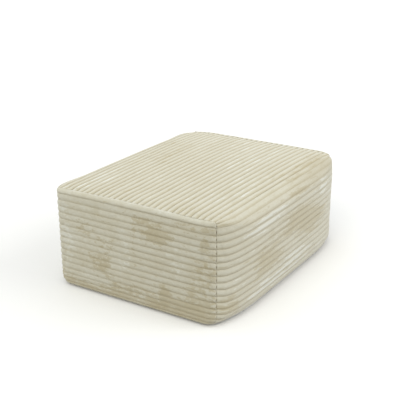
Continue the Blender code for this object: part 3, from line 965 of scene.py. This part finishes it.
def napAndFlankShadeGroup():
    # how the nap lies, 0 tan to 1 bright: brushed patches whose edges run on or stop rib by rib, soft clouds
    # over many ribs, fine flecks, and painted light and shade on the two flanks of each rib
    values = {"Broad nap": 0.5} | plush["longPanel"]
    group, given, lie = newGroup("napMarks", "Rib map", values, "Lie")
    split = addNode(group, "ShaderNodeSeparateXYZ", {0: given["Rib map"]}).outputs
    rib = worked(group, "FLOOR", split[1], 0.0)
    share = worked(group, "FRACT", split[1], 0.0)
    unlike = times(group, rib, napPattern["ribStep"])
    across = plus(group, unlike, times(group, share, napPattern["acrossRib"]))
    place = joined(group, over(group, split[0], given["Mark length"]), across, rib)
    ragged = times(group, less(group, noise(group, place, *napPattern["markNoise"]), 0.5), given["Raggedness"])
    leaning = plus(group, less(group, given["Broad nap"], 0.5), ragged)
    light = softStep(group, leaning, *napPattern["edge"])
    tan = softStep(group, times(group, leaning, -1.0), *napPattern["edge"])
    onStreak = less(group, softStep(group, share, *napPattern["streak"]),
                    softStep(group, share, *napPattern["streakEnd"]))
    kept = less(group, 1.0, times(group, less(group, 1.0, onStreak), given["Streak"]))
    bright = times(group, times(group, light, kept), given["Bright strength"])
    patches = less(group, bright, times(group, tan, given["Tan strength"]))
    wide = over(group, split[0], given["Cloud size"])
    tall = over(group, times(group, split[1], napPattern["ribWidth"]), given["Cloud size"])
    clouds = noise(group, joined(group, wide, tall, napPattern["cloudPlace"]), *napPattern["cloudNoise"])
    cloudy = times(group, less(group, clouds, 0.5), given["Cloud strength"])
    # painted light and shade: one flank of each rib lighter, the other darker
    flankShade = less(group, softStep(group, share, *napPattern["flankShade"]), napPattern["flankMiddle"])
    flankShade = times(group, flankShade, given["Flank shade strength"])
    spread = addNode(group, "ShaderNodeVectorMath", {0: given["Rib map"], 1: napPattern["flecks"]},
                     operation="MULTIPLY").outputs[0]
    flecks = noise(group, spread, *napPattern["fleckNoise"])
    flecked = times(group, less(group, flecks, 0.5), given["Fleck strength"])
    smooth = plus(group, cloudy, plus(group, flankShade, 0.5))
    group.links.new(plus(group, plus(group, patches, flecked), smooth), lie)
    return group


def pileGroup():
    # height of the short pile: fine tufts and, over them, small crushed spots
    group, given, height = newGroup("pile", "Place", plush["pile"], "Height")
    tufts = noise(group, given["Place"], over(group, 1.0, given["Tuft size"]), napPattern["pileDetail"])
    crushed = noise(group, given["Place"], over(group, 1.0, given["Crush size"]), napPattern["pileDetail"])
    group.links.new(plus(group, times(group, tufts, napPattern["tufts"]), crushed), height)
    return group


def plushMaterial(name, marksGroup, heightGroup, look):
    material, tree, shader = newMaterial(name, plush["roughness"])
    shader.inputs["Specular IOR Level"].default_value = plush["specular"]
    shader.inputs["Sheen Weight"].default_value = plush["sheen"]
    shader.inputs["Sheen Roughness"].default_value = plush["sheenRoughness"]
    ribMap = addNode(tree, "ShaderNodeUVMap", uv_map="ribMap")
    nap = addNode(tree, "ShaderNodeAttribute", attribute_name="nap")
    values = {"Rib map": ribMap.outputs[0], "Broad nap": nap.outputs["Fac"]} | look
    marks = addNode(tree, "ShaderNodeGroup", values, node_tree=marksGroup)
    lie = addNode(tree, "ShaderNodeValToRGB", {"Fac": marks.outputs["Lie"]})
    stops = lie.color_ramp.elements
    tanAt, ivoryAt, brightAt = plush["lies"]
    stops[0].position, stops[0].color = tanAt, plush["tan"]
    stops[1].position, stops[1].color = brightAt, plush["bright"]
    stops.new(ivoryAt).color = plush["ivory"]
    # painted shade: the rise mixes in the grooves' shade colour, none on a crest and full in an open groove
    rise = addNode(tree, "ShaderNodeAttribute", attribute_name="rise")
    outOfGrooveShade = worked(tree, "POWER", rise.outputs["Fac"], plush["grooveCurve"], clamp=True)
    colour = mixed(tree, outOfGrooveShade, plush["groove"], lie.outputs["Color"])
    # painted sheen: the base colour darkened face on and brightened edge on
    edgeOnSheen = addNode(tree, "ShaderNodeLayerWeight", {"Blend": 0.5})
    paintedSheen = addNode(tree, "ShaderNodeMapRange", {"Value": edgeOnSheen.outputs["Facing"], "To Min": plush["facing"],
                                                "To Max": plush["edgeOnSheen"]})
    lit = addNode(tree, "ShaderNodeVectorMath", {0: colour, 1: paintedSheen.outputs[0]}, operation="MULTIPLY")
    tree.links.new(lit.outputs[0], shader.inputs["Base Color"])
    spot = addNode(tree, "ShaderNodeTexCoord").outputs["Object"]
    height = addNode(tree, "ShaderNodeGroup", {"Place": spot}, node_tree=heightGroup)
    tree.links.new(bumped(tree, height.outputs[0], plush), shader.inputs["Normal"])
    return material


def threadMaterial():
    # dark twisted thread where the rise is 1, flecked with the grooves' painted shade colour, its darkness
    # painted shade for the seam's gaps; pale pile where it is 0
    material, tree, shader = newMaterial("seamThreadAndGapShade", thread["roughness"])
    spot = addNode(tree, "ShaderNodeTexCoord").outputs["Object"]
    twist = noise(tree, spot, thread["fibreScale"], 2.0)
    kind = addNode(tree, "ShaderNodeAttribute", attribute_name="rise").outputs["Fac"]
    both = mixed(tree, kind, plush["bright"], mixed(tree, twist, thread["colour"], plush["groove"]))
    tree.links.new(both, shader.inputs["Base Color"])
    return material


def baseClothMaterial():
    material, tree, shader = newMaterial("baseClothWeave", baseCloth["roughness"])
    spot = addNode(tree, "ShaderNodeTexCoord").outputs["Object"]
    fibres = noise(tree, spot, baseCloth["fibreScale"], 5.0)
    tree.links.new(mixed(tree, fibres, baseCloth["dark"], baseCloth["pale"]), shader.inputs["Base Color"])
    tree.links.new(bumped(tree, fibres, baseCloth), shader.inputs["Normal"])
    return material


# Camera, light and floor

view = {
    "azimuth": -58.23,         # degrees round the object
    "elevation": 21.02,
    "distance": 3.376,
    "toRight": 0.0197,         # how far the camera stands off the line through the frame's origin
    "toTop": 0.2071,
    "focalPixels": 823.4,      # focal length in pixels of the square frame
    "frame": 416.0,
    "sensor": 36.0,
    "farthest": 200.0,
}


def makeCamera():
    turn = math.radians(view["azimuth"])
    rise = math.radians(view["elevation"])
    back = Vector((math.sin(turn) * math.cos(rise), -math.cos(turn) * math.cos(rise), math.sin(rise)))
    right = Vector((math.cos(turn), math.sin(turn), 0.0))
    up = back.cross(right)
    lens = bpy.data.cameras.new("camera")
    lens.sensor_width = view["sensor"]
    lens.sensor_fit = "HORIZONTAL"
    lens.lens = view["focalPixels"] * view["sensor"] / view["frame"]
    lens.clip_end = view["farthest"]
    camera = bpy.data.objects.new("camera", lens)
    place = right * view["toRight"] + up * view["toTop"] + back * view["distance"]
    camera.matrix_world = Matrix.Translation(place) @ Matrix((right, up, back)).transposed().to_4x4()
    bpy.context.scene.collection.objects.link(camera)
    bpy.context.scene.camera = camera


studio = {
    "world": 0.66,
    "backdrop": 1.0,           # what the camera sees of the world, past the floor's end
    "suns": (                  # name, where it shines from, strength, apparent size in degrees, colour
        ("overhead", (-0.20, 0.20, 0.95), 0.42, 50.0, (0.90, 1.00, 1.00)),
        ("leftFront", (-0.83, -0.10, 0.56), 1.04, 40.0, (1.00, 0.97, 0.87)),
        ("rightFront", (0.40, -0.85, 0.45), 1.15, 50.0, (0.99, 0.99, 0.96)),
    ),
    "floorTone": 0.99,         # what the camera sees
    "floorBounce": 0.42,       # what the part sees, as under a studio's black side flags
    "floorSize": 60.0,
}


def makeWorld():
    # white surroundings, brighter to the camera than to the part
    world = bpy.data.worlds.new("studio")
    bpy.context.scene.world = world
    world.use_nodes = True
    tree = world.node_tree
    backdrop = tree.nodes["Background"]
    backdrop.inputs["Color"].default_value = (1.0, 1.0, 1.0, 1.0)
    seen = addNode(tree, "ShaderNodeLightPath").outputs["Is Camera Ray"]
    strength = addNode(tree, "ShaderNodeMapRange", {"Value": seen, "To Min": studio["world"],
                                                    "To Max": studio["backdrop"]})
    tree.links.new(strength.outputs[0], backdrop.inputs["Strength"])


def makeSuns():
    for name, place, strength, size, colour in studio["suns"]:
        lamp = bpy.data.lights.new(name, "SUN")
        lamp.energy = strength
        lamp.color = colour
        lamp.angle = math.radians(size)
        holder = bpy.data.objects.new(name, lamp)
        turn = (-Vector(place)).to_track_quat("-Z", "Y").to_matrix().to_4x4()
        holder.matrix_world = Matrix.Translation(Vector(place) * 3.0) @ turn     # any distance does for a sun
        bpy.context.scene.collection.objects.link(holder)


def makeFloor():
    # pale paper that throws back less light than the camera sees on it
    bpy.ops.mesh.primitive_plane_add(size=studio["floorSize"])
    floor = bpy.context.object
    floor.name = "floor"
    paper, tree, shader = newMaterial("floorPaper", 1.0)
    seen = addNode(tree, "ShaderNodeLightPath").outputs["Is Camera Ray"]
    bounce, tone = [(studio[key],) * 3 + (1.0,) for key in ("floorBounce", "floorTone")]
    tree.links.new(mixed(tree, seen, bounce, tone), shader.inputs["Base Color"])
    floor.data.materials.append(paper)


print("ottoman: camera and studio")
makeCamera()
makeWorld()
makeSuns()
makeFloor()
bpy.context.scene.view_settings.view_transform = "Standard"

print("ottoman: materials")
marksGroup = napAndFlankShadeGroup()
heightGroup = pileGroup()
longPlush = plushMaterial("longPanelPlush", marksGroup, heightGroup, plush["longPanel"])
endPlush = plushMaterial("endPanelPlush", marksGroup, heightGroup, plush["endPanel"])
underCloth = baseClothMaterial()

print("ottoman: long panel")
longPanel = makeLongPanel(longPlush)
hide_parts("wrap")

print("ottoman: end panels")
endPanels = [makeEndPanel("endPanelNear", -1, endPlush), makeEndPanel("endPanelFar", 1, endPlush)]
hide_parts("end_panel_near")
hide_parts("end_panel_far")

print("ottoman: seam thread")
seamThread = makeThread(threadMaterial())
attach(seamThread, "root")

print("ottoman: base cloth")
under = makeBaseCloth(underCloth)
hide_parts("base_cloth")

for piece in [longPanel] + endPanels:
    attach(piece, "root")
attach(under, "root")
